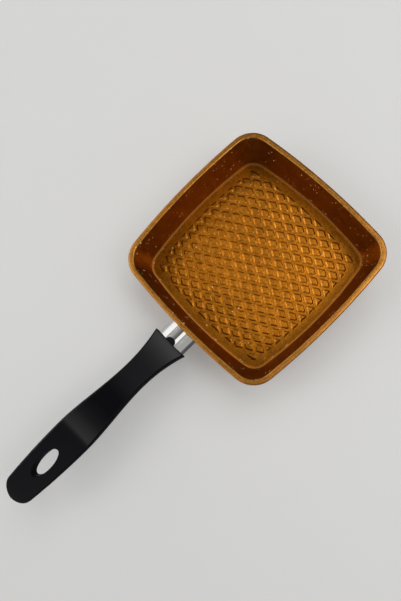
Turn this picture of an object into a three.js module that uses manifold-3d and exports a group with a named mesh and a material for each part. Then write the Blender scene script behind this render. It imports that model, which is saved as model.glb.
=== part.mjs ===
// Square frying pan: a pressed aluminium body with raised pads on its floor, a welded
// bracket, a polished ferrule and a moulded handle held by one screw from below.
// Millimetres, +Z up, +X along the handle, origin at the centre of the base.

import * as THREE from 'three';
import { mergeGeometries, mergeVertices } from 'three/addons/utils/BufferGeometryUtils.js';
import Module from 'manifold-3d';

const wasm = await Module();
wasm.setup();

const { degToRad, lerp, smoothstep } = THREE.MathUtils;

// Pan body
const PAN_WIDTH = 160; // across the rim at the middle of two sides
const PAN_HEIGHT = 40;
const WALL_THICKNESS = 2.8;
const WALL_DRAFT = degToRad(7);
const FLOOR_THICKNESS = 4.5;
const FLOOR_FILLET = 1.2;
const BASE_FILLET = 7;
const RIM_WIDTH = 4.5;
const RIM_HEIGHT = 4.5;
const RIM_ROUND = 1.5;
const RIM_CORNER = 21; // corner radius at the outside of the rim
const FLOOR_CORNER = 14;
const RIM_BOW = 5.4; // how far a side swells beyond a straight one
const FLOOR_BOW = 7;

// Raised pads of the floor
const PAD_PITCH_X = 9.62;
const PAD_PITCH_Y = 15.7;
const PAD_LENGTH_X = 6.4;
const PAD_LENGTH_Y = 9;
const PAD_TIP = 1.2; // how much of each pointed end is cut off
const PAD_HEIGHT = 0.65;
const PAD_SLOPE = 0.7; // width of the sloped edge
const PAD_ROOT = 0.5; // depth to which a pad is joined into the floor
const PAD_MARGIN = 8; // plain strip between the pads and the wall
const PAD_BORDER_BOW = 5.5; // the pads end along a square with bowed sides
const PAD_BORDER_CORNER = 3;

// Neck: the line along which the bracket and the ferrule leave the wall
const NECK_HEIGHT = 16.7; // where that line meets the outside of the wall
const NECK_SLOPE = degToRad(6.5);
const SEAT_GAP = 0.2; // between pieces that are seated on each other

// Ferrule
const FERRULE_WIDTH = 28;
const FERRULE_HEIGHT = 18.5;
const FERRULE_SHEET = 0.8;
const FERRULE_SHOWN = 21.2; // from the wall to the face of the handle, along the neck
const FERRULE_INSERT = 3; // length that is let into the handle
const FERRULE_SQUARENESS = 2.3; // exponent of the oval, 2 for an ellipse
const GROOVE_DEPTH = 1.25;
const GROOVE_HALF_WIDTH = 4.8;

// Bracket: a plate that is bent up at the face of the handle
const TANG_WIDTH = 14;
const TANG_THICKNESS = 3;
const TANG_INSERT = 22; // length inside the handle
const FOOT_WIDTH = 19;
const FOOT_LENGTH = 4; // along the neck, from the wall
const FOOT_DEPTH = 3.5; // below the tang

// Handle
const HANDLE_REACH = 171; // level distance from the face to the end
const HANDLE_RISE = 25.7; // how much higher the end lies than the face
const HANDLE_FRONT_SLOPE = degToRad(25);
const HANDLE_END_SLOPE = degToRad(8);
const HANDLE_FRONT_PULL = 48; // how long each slope holds before the middle line bends
const HANDLE_END_PULL = 61;
const FACE_WIDTH = 31.5;
const FACE_HEIGHT = 22;
const WAIST_WIDTH = 20.9;
const WAIST_HEIGHT = 18;
const WAIST_AT = 40; // from the face, along the handle
const GRIP_WIDTH = 30.9;
const GRIP_HEIGHT = 13;
const GRIP_AT = 108;
const STRAIGHT_FROM = 76; // where the top face stops to bend
const END_WIDTH = 23.6;
const END_HEIGHT = 8.5;
const END_ROUND = 9; // length of the rounded end
const TOP_EDGE = 1.3; // radius of the upper edges
const UNDER_EDGE = 5; // radius of the lower edges
const EDGE_SHARE = 0.49; // most of a section that one edge radius takes up
const HOLE_LENGTH = 28;
const HOLE_WIDTH = 11.7;
const HOLE_CHAMFER = 0.4; // at both faces
const HOLE_FROM_END = 37.8; // from the end of the handle to the middle of the hole
const KEY_RADIUS = 3.9; // round key of the handle that sits in the groove
const KEY_DROP = 1; // from the top of the handle to the top of the key

// Screw and washers
const SCREW_FROM_FACE = 11;
const SCREW_DIAMETER = 5;
const SCREW_LENGTH = 10;
const HEAD_DIAMETER = 9;
const HEAD_HEIGHT = 3;
const DRIVE_LENGTH = 5; // cross slot in the head
const DRIVE_WIDTH = 1.1;
const DRIVE_DEPTH = 1.6;
const FLAT_WASHER_DIAMETER = 9.4;
const FLAT_WASHER_THICKNESS = 1;
const LOCK_WASHER_DIAMETER = 8.6;
const LOCK_WASHER_THICKNESS = 1.2;
const LOCK_WASHER_SPLIT = 1.2;
const SCREW_CLEARANCE = 0.25; // around the screw, all the way
const SEAT_WALL = 2; // handle material between the washer and the tang
const WELL_CLEARANCE = 0.6; // around the flat washer
const TIP_ROOM = 0.8; // beyond the end of the screw

// Fineness of the facets
const SIDE_STEPS = 4;
const CORNER_STEPS = 6;
const FILLET_STEPS = 4;
const RIM_STEPS = 3;
const EDGE_STEPS = 3;
const HANDLE_STEPS = 22;
const END_STEPS = 5;
const END_TURN = degToRad(86); // where the rounded end stops short of a point
const OVAL_STEPS = 32;
const HOLE_STEPS = 24;
const ROUND_STEPS = 20;
const OVERSHOOT = 20; // how far a cutting tool reaches beyond what it cuts

const CENTRE = new THREE.Vector2(0, 0);

// A closed three.js geometry as a solid that can be cut and joined.
function toSolid(geometry) {
  const bare = geometry.clone();
  bare.deleteAttribute('normal');
  bare.deleteAttribute('uv');
  const welded = mergeVertices(bare);
  return new wasm.Manifold(new wasm.Mesh({
    numProp: 3,
    vertProperties: new Float32Array(welded.attributes.position.array),
    triVerts: new Uint32Array(welded.index.array),
  }));
}

function toGeometry(solid) {
  const mesh = solid.getMesh();
  const geometry = new THREE.BufferGeometry();
  geometry.setAttribute('position', new THREE.BufferAttribute(mesh.vertProperties, 3));
  geometry.setIndex(new THREE.BufferAttribute(mesh.triVerts, 1));
  geometry.computeVertexNormals();
  return geometry;
}

// Closed body through a row of rings, all with the same number of points.
function loft(rings) {
  const count = rings[0].length;
  const last = (rings.length - 1) * count;
  const index = [];
  for (let start = 0; start < last; start += count) {
    for (let i = 0; i < count; i++) {
      const here = start + i;
      const next = start + (i + 1) % count;
      index.push(here, next, next + count);
      index.push(here, next + count, here + count);
    }
  }
  for (let i = 1; i + 1 < count; i++) {
    index.push(0, i + 1, i);
    index.push(last, last + i, last + i + 1);
  }
  const geometry = new THREE.BufferGeometry().setFromPoints(rings.flat());
  geometry.setIndex(index);
  return geometry;
}

// An outline drawn across the neck, drawn out along it from one place to another.
function alongNeck(shape, from, to) {
  const across = new THREE.Vector3(0, 1, 0);
  const up = new THREE.Vector3(0, 0, 1);
  const out = new THREE.Vector3(1, 0, 0);
  return new THREE.ExtrudeGeometry(shape, { depth: to - from, bevelEnabled: false })
    .applyMatrix4(new THREE.Matrix4().makeBasis(across, up, out))
    .translate(from, 0, 0);
}

function block(fromX, toX, width, fromZ, toZ) {
  return new THREE.BoxGeometry(toX - fromX, width, toZ - fromZ)
    .translate((fromX + toX) / 2, 0, (fromZ + toZ) / 2);
}

// Upright round bar at a distance along X.
function upright(radius, x, fromZ, toZ) {
  return new THREE.CylinderGeometry(radius, radius, toZ - fromZ, ROUND_STEPS)
    .rotateX(Math.PI / 2)
    .translate(x, 0, (fromZ + toZ) / 2);
}

// Outline in the XZ plane, drawn out across the neck to a width.
function acrossNeck(outline, width) {
  const shape = new THREE.Shape(outline);
  return new THREE.ExtrudeGeometry(shape, { depth: width, bevelEnabled: false })
    .translate(0, 0, -width / 2)
    .rotateX(Math.PI / 2);
}

// Square with bowed sides and rounded corners; half is its half width at mid-side.
function bowedSquare(half, bow, corner) {
  const sideRadius = (half * half + bow * bow) / (2 * bow);
  const sideCentre = half - sideRadius;
  const reach = sideRadius - corner;
  const cornerCentre = (sideCentre + Math.sqrt(2 * reach * reach - sideCentre * sideCentre)) / 2;
  const turn = Math.atan2(cornerCentre, cornerCentre - sideCentre);
  const quarter = [];
  for (let i = 0; i < SIDE_STEPS; i++) {
    const angle = turn * (2 * i / SIDE_STEPS - 1);
    quarter.push(new THREE.Vector2(sideCentre, 0).add(polar(sideRadius, angle)));
  }
  for (let i = 0; i < CORNER_STEPS; i++) {
    const angle = lerp(turn, Math.PI / 2 - turn, i / CORNER_STEPS);
    quarter.push(new THREE.Vector2(cornerCentre, cornerCentre).add(polar(corner, angle)));
  }
  const turned = (n) => quarter.map((p) => p.clone().rotateAround(CENTRE, n * Math.PI / 2));
  return [0, 1, 2, 3].flatMap(turned);
}

function polar(radius, angle) {
  return new THREE.Vector2(radius * Math.cos(angle), radius * Math.sin(angle));
}

// Half width of the inside of the wall at a height, before the floor's fillet.
function innerHalf(z) {
  return PAN_WIDTH / 2 - RIM_WIDTH - (PAN_HEIGHT - z) * Math.tan(WALL_DRAFT);
}

function outerHalf(z) {
  return innerHalf(z) + WALL_THICKNESS;
}

// Level ring of the body: its corner keeps its distance to the inside of the wall.
function panRing(half, z) {
  const rise = z / PAN_HEIGHT;
  const bow = lerp(FLOOR_BOW, RIM_BOW, rise);
  const corner = lerp(FLOOR_CORNER, RIM_CORNER - RIM_WIDTH, rise) + half - innerHalf(z);
  return bowedSquare(half, bow, corner).map((p) => new THREE.Vector3(p.x, p.y, z));
}

// Profile points of the round between a flat at a height and a wall that rises from it.
function fillet(wallHalf, flatZ, radius) {
  const centreZ = flatZ + radius;
  const run = (centreZ * Math.sin(WALL_DRAFT) - radius) / Math.cos(WALL_DRAFT);
  const centre = new THREE.Vector2(wallHalf(0) + run, centreZ);
  const points = [];
  for (let i = 0; i <= FILLET_STEPS; i++) {
    const angle = lerp(-Math.PI / 2, -WALL_DRAFT, i / FILLET_STEPS);
    points.push(polar(radius, angle).add(centre));
  }
  return points;
}

// Profile of the rolled rim, from under its lip to the inside of the wall.
function rimProfile() {
  const outside = PAN_WIDTH / 2;
  const inside = outside - RIM_WIDTH;
  const roundZ = PAN_HEIGHT - RIM_ROUND;
  const lipZ = PAN_HEIGHT - RIM_HEIGHT;
  const lipRun = outside - outerHalf(lipZ);
  const points = [new THREE.Vector2(outerHalf(lipZ - lipRun), lipZ - lipRun)];
  points.push(new THREE.Vector2(outside, lipZ));
  for (let i = 0; i <= RIM_STEPS; i++) {
    const angle = Math.PI / 2 * i / RIM_STEPS;
    points.push(polar(RIM_ROUND, angle).add(new THREE.Vector2(outside - RIM_ROUND, roundZ)));
  }
  for (let i = 0; i < RIM_STEPS; i++) {
    const angle = Math.PI / 2 * (1 + i / RIM_STEPS);
    points.push(polar(RIM_ROUND, angle).add(new THREE.Vector2(inside + RIM_ROUND, roundZ)));
  }
  points.push(new THREE.Vector2(innerHalf(roundZ), roundZ));
  return points;
}

// One pad: a diamond with its ends cut off and a sloped edge all round.
function padShape() {
  const halfX = PAD_LENGTH_X / 2 - PAD_SLOPE;
  const halfY = PAD_LENGTH_Y / 2 - PAD_SLOPE;
  const cutX = halfX * PAD_TIP / PAD_LENGTH_Y;
  const shape = new THREE.Shape();
  shape.moveTo(halfX, 0);
  shape.lineTo(cutX, halfY - PAD_TIP / 2);
  shape.lineTo(-cutX, halfY - PAD_TIP / 2);
  shape.lineTo(-halfX, 0);
  shape.lineTo(-cutX, PAD_TIP / 2 - halfY);
  shape.lineTo(cutX, PAD_TIP / 2 - halfY);
  shape.closePath();
  return shape;
}

function padGeometry() {
  const options = {
    depth: PAD_ROOT,
    bevelEnabled: true,
    bevelThickness: PAD_HEIGHT,
    bevelSize: PAD_SLOPE,
    bevelSegments: 1,
  };
  return new THREE.ExtrudeGeometry(padShape(), options);
}

// Whether a point lies inside a convex outline that runs anticlockwise.
function inside(outline, point) {
  return outline.every((from, i) => {
    const to = outline[(i + 1) % outline.length];
    return (to.x - from.x) * (point.y - from.y) > (to.y - from.y) * (point.x - from.x);
  });
}

// Places of the pads: a centred lattice, as long as a good part of a pad is inside the border.
function padPlaces(border) {
  const places = [];
  const reach = PAN_WIDTH / 2;
  const addRow = (x, firstY) => {
    for (let y = firstY; y < reach; y += PAD_PITCH_Y) {
      const kept = new THREE.Vector2(x - PAD_LENGTH_X / 4, Math.max(y - PAD_LENGTH_Y / 4, 0));
      if (!inside(border, kept)) continue;
      const signsX = x ? [1, -1] : [1];
      const signsY = y ? [1, -1] : [1];
      signsX.forEach((signX) => signsY.forEach((signY) => {
        places.push(new THREE.Vector2(signX * x, signY * y));
      }));
    }
  };
  for (let column = 0; column * PAD_PITCH_X < reach; column++) {
    addRow((column + 1 / 2) * PAD_PITCH_X, 0);
    addRow(column * PAD_PITCH_X, PAD_PITCH_Y / 2);
  }
  return places;
}

// Raised pads, cut off along a line that follows the floor's edge.
function floorPads() {
  const borderHalf = innerHalf(FLOOR_THICKNESS) - PAD_MARGIN;
  const rootZ = FLOOR_THICKNESS - PAD_ROOT;
  const ring = (inset, z) => bowedSquare(borderHalf - inset, PAD_BORDER_BOW, PAD_BORDER_CORNER)
    .map((p) => new THREE.Vector3(p.x, p.y, z));
  const border = ring(0, FLOOR_THICKNESS);
  const pad = padGeometry();
  const pads = padPlaces(border).map((place) => pad.clone().translate(place.x, place.y, rootZ));
  const limit = loft([ring(0, rootZ), border, ring(PAD_SLOPE, FLOOR_THICKNESS + PAD_HEIGHT)]);
  return toSolid(mergeGeometries(pads)).intersect(toSolid(limit));
}

function panGeometry() {
  const profile = [
    ...fillet(outerHalf, 0, BASE_FILLET),
    ...rimProfile(),
    ...fillet(innerHalf, FLOOR_THICKNESS, FLOOR_FILLET).reverse(),
  ];
  const shell = loft(profile.map((p) => panRing(p.x, p.y)));
  return toGeometry(toSolid(shell).add(floorPads()));
}

// The pieces below are drawn in the neck's own frame: X along the neck, from the outside
// of the wall, Y across and Z up.

// Everything behind the outside of the wall, with the gap that a seated piece keeps to it.
function wallSpace() {
  const size = PAN_WIDTH;
  return toSolid(new THREE.BoxGeometry(size, size, size)
    .translate(SEAT_GAP - size / 2, 0, 0)
    .rotateY(NECK_SLOPE + WALL_DRAFT));
}

// Oval with a groove along its top, grown outwards by a margin.
function ferruleShape(margin) {
  const halfWidth = FERRULE_WIDTH / 2 + margin;
  const halfHeight = FERRULE_HEIGHT / 2 + margin;
  const grooveHalf = GROOVE_HALF_WIDTH - margin;
  const points = [];
  for (let i = 0; i < 2 * OVAL_STEPS; i++) {
    const angle = Math.PI * i / OVAL_STEPS;
    const x = halfWidth * Math.cos(angle);
    const share = 1 - Math.abs(x / halfWidth) ** FERRULE_SQUARENESS;
    const z = halfHeight * Math.max(share, 0) ** (1 / FERRULE_SQUARENESS);
    const inGroove = i < OVAL_STEPS && Math.abs(x) < grooveHalf;
    const dip = inGroove ? GROOVE_DEPTH * (1 - (x / grooveHalf) ** 2) : 0;
    points.push(new THREE.Vector2(x, i < OVAL_STEPS ? z - dip : -z));
  }
  return new THREE.Shape(points);
}

function ferruleGeometry() {
  const end = FERRULE_SHOWN + FERRULE_INSERT;
  const outside = toSolid(alongNeck(ferruleShape(0), -OVERSHOOT, end));
  const hollow = toSolid(alongNeck(ferruleShape(-FERRULE_SHEET), -2 * OVERSHOOT, end + OVERSHOOT));
  return toGeometry(outside.subtract(hollow).subtract(wallSpace()));
}

// The handle leaves the neck at an angle. The bent part of the bracket, the screw and the
// washers are drawn in a frame at the middle of the face, turned up by that angle.
const HANDLE_TURN = HANDLE_FRONT_SLOPE - NECK_SLOPE;
const TO_HANDLE = new THREE.Matrix4()
  .makeRotationY(-HANDLE_TURN)
  .setPosition(FERRULE_SHOWN, 0, 0);

const SEAT_Z = -TANG_THICKNESS / 2 - SEAT_GAP - SEAT_WALL;
const FLAT_WASHER_Z = SEAT_Z - SEAT_GAP;
const LOCK_WASHER_Z = FLAT_WASHER_Z - FLAT_WASHER_THICKNESS - SEAT_GAP;
const HEAD_Z = LOCK_WASHER_Z - LOCK_WASHER_THICKNESS - SEAT_GAP;
const BORE_RADIUS = SCREW_DIAMETER / 2 + SCREW_CLEARANCE;

// Bent plate of a thickness, from inside the wall to a distance inside the handle.
function tangGeometry(thickness, width, insert) {
  const half = thickness / 2;
  const start = -OVERSHOOT;
  const elbow = half * Math.tan(HANDLE_TURN / 2);
  const onHandle = (x, z) => {
    const point = new THREE.Vector3(x, 0, z).applyMatrix4(TO_HANDLE);
    return new THREE.Vector2(point.x, point.z);
  };
  return acrossNeck([
    new THREE.Vector2(start, -half),
    new THREE.Vector2(FERRULE_SHOWN + elbow, -half),
    onHandle(insert, -half),
    onHandle(insert, half),
    new THREE.Vector2(FERRULE_SHOWN - elbow, half),
    new THREE.Vector2(start, half),
  ], width);
}

function bracketGeometry() {
  const top = TANG_THICKNESS / 2;
  const tang = toSolid(tangGeometry(TANG_THICKNESS, TANG_WIDTH, TANG_INSERT));
  const foot = toSolid(block(-OVERSHOOT, FOOT_LENGTH, FOOT_WIDTH, -top - FOOT_DEPTH, top));
  const bore = upright(BORE_RADIUS, SCREW_FROM_FACE, -OVERSHOOT, OVERSHOOT).applyMatrix4(TO_HANDLE);
  return toGeometry(tang.add(foot).subtract(wallSpace()).subtract(toSolid(bore)));
}

// A size of the handle at a distance from its face: it draws in to the waist, swells to
// the grip and tapers to the end.
function sizeAlong(at, length, face, waist, grip, end) {
  if (at < WAIST_AT) return waist + (face - waist) * (1 - at / WAIST_AT) ** 2;
  if (at < GRIP_AT) return lerp(waist, grip, smoothstep(at, WAIST_AT, GRIP_AT));
  return lerp(grip, end, ((at - GRIP_AT) / (length - GRIP_AT)) ** 2);
}

// Box section with rounded edges, anticlockwise as seen from the end of the handle.
function handleSection(width, above, below) {
  const most = EDGE_SHARE * Math.min(width, above + below);
  const top = Math.min(TOP_EDGE, most);
  const under = Math.min(UNDER_EDGE, most);
  const high = above - top;
  const low = under - below;
  const corners = [[1, low, under], [1, high, top], [-1, high, top], [-1, low, under]];
  return corners.flatMap(([side, level, radius], quarter) => {
    const centre = new THREE.Vector2(side * (width / 2 - radius), level);
    return Array.from({ length: EDGE_STEPS + 1 }, (_, i) => (
      polar(radius, Math.PI / 2 * (quarter - 1 + i / EDGE_STEPS)).add(centre)
    ));
  });
}

// Middle line of the handle in the neck's frame.
function handleLine() {
  const toward = (x, z) => {
    const level = new THREE.Vector2(x, z).rotateAround(CENTRE, -NECK_SLOPE);
    return new THREE.Vector3(FERRULE_SHOWN + level.x, 0, level.y);
  };
  const front = polar(HANDLE_FRONT_PULL, HANDLE_FRONT_SLOPE);
  const back = polar(HANDLE_END_PULL, HANDLE_END_SLOPE);
  return new THREE.CubicBezierCurve3(
    toward(0, 0),
    toward(front.x, front.y),
    toward(HANDLE_REACH - back.x, HANDLE_RISE - back.y),
    toward(HANDLE_REACH, HANDLE_RISE),
  );
}

// Frame of the handle at a distance from its face: X across it, Y upwards, Z along it.
// The face is square to the neck, and the sections turn to the middle line by the waist.
function handleFrame(line, at) {
  const share = at / line.getLength();
  const tangent = line.getTangentAt(share);
  const turn = Math.atan2(tangent.z, tangent.x) * smoothstep(at, 0, WAIST_AT);
  const along = new THREE.Vector3(Math.cos(turn), 0, Math.sin(turn));
  const across = new THREE.Vector3(0, 1, 0);
  const up = new THREE.Vector3().crossVectors(along, across);
  return new THREE.Matrix4().makeBasis(across, up, along).setPosition(line.getPointAt(share));
}

function handleWidth(at, length) {
  return sizeAlong(at, length, FACE_WIDTH, WAIST_WIDTH, GRIP_WIDTH, END_WIDTH);
}

function handleHeight(at, length) {
  return sizeAlong(at, length, FACE_HEIGHT, WAIST_HEIGHT, GRIP_HEIGHT, END_HEIGHT);
}

// How far the handle reaches above its middle line, where the top face runs straight over
// the grip, and below it.
function handleReaches(line, at) {
  const length = line.getLength();
  const half = handleHeight(at, length) / 2;
  if (at <= STRAIGHT_FROM) return { above: half, below: half };
  const top = (near) => new THREE.Vector3(0, handleHeight(near, length) / 2, 0)
    .applyMatrix4(handleFrame(line, near));
  const start = top(STRAIGHT_FROM);
  const normal = start.clone().sub(top(STRAIGHT_FROM - 1)).cross(new THREE.Vector3(0, 1, 0)).normalize();
  const face = new THREE.Plane().setFromNormalAndCoplanarPoint(normal, start);
  const frame = handleFrame(line, at);
  const middle = new THREE.Vector3().setFromMatrixPosition(frame);
  const up = new THREE.Vector3().setFromMatrixColumn(frame, 1);
  return { above: -face.distanceToPoint(middle) / normal.dot(up), below: half };
}

// Section at a distance from the face. Where the end narrows, the top face keeps its level.
function handleRing(line, at, narrowing) {
  const width = handleWidth(at, line.getLength()) * narrowing;
  const { above, below } = handleReaches(line, at);
  const frame = handleFrame(line, at);
  return handleSection(width, above, below * Math.sqrt(narrowing))
    .map((p) => new THREE.Vector3(p.x, p.y, 0).applyMatrix4(frame));
}

function handleBlank(line) {
  const straight = line.getLength() - END_ROUND;
  const rings = [];
  for (let i = 0; i < HANDLE_STEPS; i++) {
    rings.push(handleRing(line, straight * i / HANDLE_STEPS, 1));
  }
  for (let i = 0; i <= END_STEPS; i++) {
    const angle = END_TURN * i / END_STEPS;
    rings.push(handleRing(line, straight + END_ROUND * Math.sin(angle), Math.cos(angle)));
  }
  return toSolid(loft(rings));
}

// Oval hole through the handle with a chamfer that follows each face.
function hangingHole(line) {
  const middle = line.getLength() - HOLE_FROM_END;
  const ring = (side, lift) => Array.from({ length: HOLE_STEPS }, (_, i) => {
    const angle = 2 * Math.PI * i / HOLE_STEPS;
    const flare = HOLE_CHAMFER + lift;
    const at = middle + (HOLE_LENGTH / 2 + flare) * Math.cos(angle);
    const across = (HOLE_WIDTH / 2 + flare) * Math.sin(angle);
    const { above, below } = handleReaches(line, at);
    const height = side * ((side > 0 ? above : below) + lift);
    return new THREE.Vector3(across, height, 0).applyMatrix4(handleFrame(line, at));
  });
  return toSolid(loft([
    ring(-1, HOLE_CHAMFER),
    ring(-1, -HOLE_CHAMFER),
    ring(1, -HOLE_CHAMFER),
    ring(1, HOLE_CHAMFER),
  ]));
}

// Recess of the ferrule, pocket of the tang, and the screw's bore and well.
function handleSpaces() {
  const recessEnd = FERRULE_SHOWN + FERRULE_INSERT + SEAT_GAP;
  const wellRadius = FLAT_WASHER_DIAMETER / 2 + WELL_CLEARANCE;
  const boreTop = HEAD_Z + SCREW_LENGTH + TIP_ROOM;
  return [
    alongNeck(ferruleShape(SEAT_GAP), -OVERSHOOT, recessEnd),
    tangGeometry(TANG_THICKNESS + 2 * SEAT_GAP, TANG_WIDTH + 2 * SEAT_GAP, TANG_INSERT + SEAT_GAP),
    upright(BORE_RADIUS, SCREW_FROM_FACE, -OVERSHOOT, boreTop).applyMatrix4(TO_HANDLE),
    upright(wellRadius, SCREW_FROM_FACE, -OVERSHOOT, SEAT_Z).applyMatrix4(TO_HANDLE),
  ].map(toSolid);
}

function handleGeometry() {
  const line = handleLine();
  const key = toSolid(upright(KEY_RADIUS, FERRULE_SHOWN, 0, FACE_HEIGHT / 2 - KEY_DROP));
  const blank = handleBlank(line).add(key).subtract(hangingHole(line));
  return toGeometry(handleSpaces().reduce((body, space) => body.subtract(space), blank));
}

function screwGeometry() {
  const headEnd = HEAD_Z - HEAD_HEIGHT;
  const shank = toSolid(upright(SCREW_DIAMETER / 2, SCREW_FROM_FACE, headEnd, HEAD_Z + SCREW_LENGTH));
  const head = toSolid(upright(HEAD_DIAMETER / 2, SCREW_FROM_FACE, headEnd, HEAD_Z));
  const slot = (length, width) => toSolid(new THREE.BoxGeometry(length, width, 2 * DRIVE_DEPTH)
    .translate(SCREW_FROM_FACE, 0, headEnd));
  return toGeometry(shank.add(head)
    .subtract(slot(DRIVE_LENGTH, DRIVE_WIDTH))
    .subtract(slot(DRIVE_WIDTH, DRIVE_LENGTH)));
}

function washer(diameter, topZ, thickness) {
  const disc = toSolid(upright(diameter / 2, SCREW_FROM_FACE, topZ - thickness, topZ));
  return disc.subtract(toSolid(upright(BORE_RADIUS, SCREW_FROM_FACE, -OVERSHOOT, OVERSHOOT)));
}

function lockWasherGeometry() {
  const ring = washer(LOCK_WASHER_DIAMETER, LOCK_WASHER_Z, LOCK_WASHER_THICKNESS);
  const far = SCREW_FROM_FACE + LOCK_WASHER_DIAMETER;
  return toGeometry(ring.subtract(toSolid(
    block(SCREW_FROM_FACE, far, LOCK_WASHER_SPLIT, -OVERSHOOT, OVERSHOOT),
  )));
}

function flatWasherGeometry() {
  return toGeometry(washer(FLAT_WASHER_DIAMETER, FLAT_WASHER_Z, FLAT_WASHER_THICKNESS));
}

function piece(name, geometry, finish) {
  const mesh = new THREE.Mesh(geometry, new THREE.MeshStandardMaterial(finish));
  mesh.name = name;
  return mesh;
}

const COATING = { color: 0xb06f1c, roughness: 0.45, metalness: 0.3 };
const POLISHED_STEEL = { color: 0xd2d2d0, roughness: 0.15, metalness: 1 };
const ZINC_STEEL = { color: 0xaab0b4, roughness: 0.35, metalness: 1 };
const BARE_ALUMINIUM = { color: 0xc3c6c8, roughness: 0.4, metalness: 1 };
const MOULDED_BLACK = { color: 0x17171a, roughness: 0.42, metalness: 0 };

const fastening = new THREE.Group();
fastening.position.set(FERRULE_SHOWN, 0, 0);
fastening.rotation.y = -HANDLE_TURN;
fastening.add(
  piece('handle_screw', screwGeometry(), ZINC_STEEL),
  piece('lock_washer', lockWasherGeometry(), ZINC_STEEL),
  piece('flat_washer', flatWasherGeometry(), ZINC_STEEL),
);

const neck = new THREE.Group();
neck.position.set(outerHalf(NECK_HEIGHT), 0, NECK_HEIGHT);
neck.rotation.y = -NECK_SLOPE;
neck.add(
  piece('handle_bracket', bracketGeometry(), BARE_ALUMINIUM),
  piece('ferrule', ferruleGeometry(), POLISHED_STEEL),
  piece('handle', handleGeometry(), MOULDED_BLACK),
  fastening,
);

const pan = new THREE.Group();
pan.add(piece('pan_body', panGeometry(), COATING), neck);

export default pan;
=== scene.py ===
"""Looks of a square frying pan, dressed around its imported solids.

Metres, +Z up, +X along the handle, origin at the centre of the base.
"""

import logging
import math
from dataclasses import dataclass, field
from enum import Enum
from typing import Any, Iterable, Sequence, Union

import bmesh
import bpy
import numpy as np
from mathutils import Matrix, Vector
from mathutils.geometry import delaunay_2d_cdt


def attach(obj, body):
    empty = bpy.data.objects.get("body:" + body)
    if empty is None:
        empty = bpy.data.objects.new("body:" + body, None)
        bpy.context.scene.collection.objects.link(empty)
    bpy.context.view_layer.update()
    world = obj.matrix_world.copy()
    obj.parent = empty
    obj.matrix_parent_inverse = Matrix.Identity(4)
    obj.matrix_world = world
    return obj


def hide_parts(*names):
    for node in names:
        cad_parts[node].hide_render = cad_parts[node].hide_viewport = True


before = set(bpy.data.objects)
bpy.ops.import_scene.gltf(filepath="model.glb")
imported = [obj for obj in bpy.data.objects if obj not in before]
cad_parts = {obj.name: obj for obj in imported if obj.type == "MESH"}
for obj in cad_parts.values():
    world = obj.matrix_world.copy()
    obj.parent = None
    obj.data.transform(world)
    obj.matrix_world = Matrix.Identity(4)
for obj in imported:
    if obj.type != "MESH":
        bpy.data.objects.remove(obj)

LOG = logging.getLogger("square_pan")
MM = 0.001
BODY = "root"
WELD_DISTANCE = 1e-7
CREASE = math.radians(40)
BLACK = (0.0, 0.0, 0.0)
# Colour sockets of a Mix node, by number.
MIX_FIRST, MIX_SECOND, MIX_RESULT = 6, 7, 2
# Size of the smallest fleck, and strength of the faintest, as shares of the largest and the strongest.
LEAST_FLECK = 0.5
FAINTEST_FLECK = 0.25
# Blender's ring wave repeats over this distance at scale one.
RING_PERIOD = math.pi / 10
# A filled outline keeps what lies inside its lines, which are told apart by this many millimetres.
FILL_INSIDE = 1
FILL_TOLERANCE = 1e-6
# Step along a line over which its direction is taken.
STRIDE = 1 * MM

Colour = tuple[float, float, float]
Span = tuple[float, float]
Term = Union["Value", float, Sequence[float]]


def linear(red: int, green: int, blue: int) -> Colour:
    """A screen colour as linear light, by the usual curve of screens.

    Args:
        red: red, in steps of 255.
        green: green, in the same steps.
        blue: blue, in the same steps.

    Returns:
        The three levels, from zero to one.
    """
    return tuple(
        c / 12.92 if c <= 0.04045 else ((c + 0.055) / 1.055) ** 2.4
        for c in (red / 255, green / 255, blue / 255)
    )


def scaled(colour: Colour, factor: float) -> Colour:
    """The colour made darker or brighter by a factor."""
    return tuple(c * factor for c in colour)


class Slot(str, Enum):
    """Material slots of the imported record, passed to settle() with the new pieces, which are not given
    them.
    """

    COATING = "coating"
    STEEL = "polished_steel"
    BLACK = "moulded_black"


class Region(int, Enum):
    """Stretches of the pan body that have a finish of their own."""

    FLOOR = 0
    WALL = 1
    OUTSIDE = 2
    BASE = 3


class Side(int, Enum):
    """Stretches of the handle that have a finish of their own."""

    TOP = 0
    FLANK = 1


class Measure(int, Enum):
    """Sizes of a section of the handle."""

    WIDTH = 0
    HEIGHT = 1


class Carving(str, Enum):
    """What a closed body does to a piece."""

    CUT = "DIFFERENCE"
    JOIN = "UNION"


# Shader maths


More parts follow.
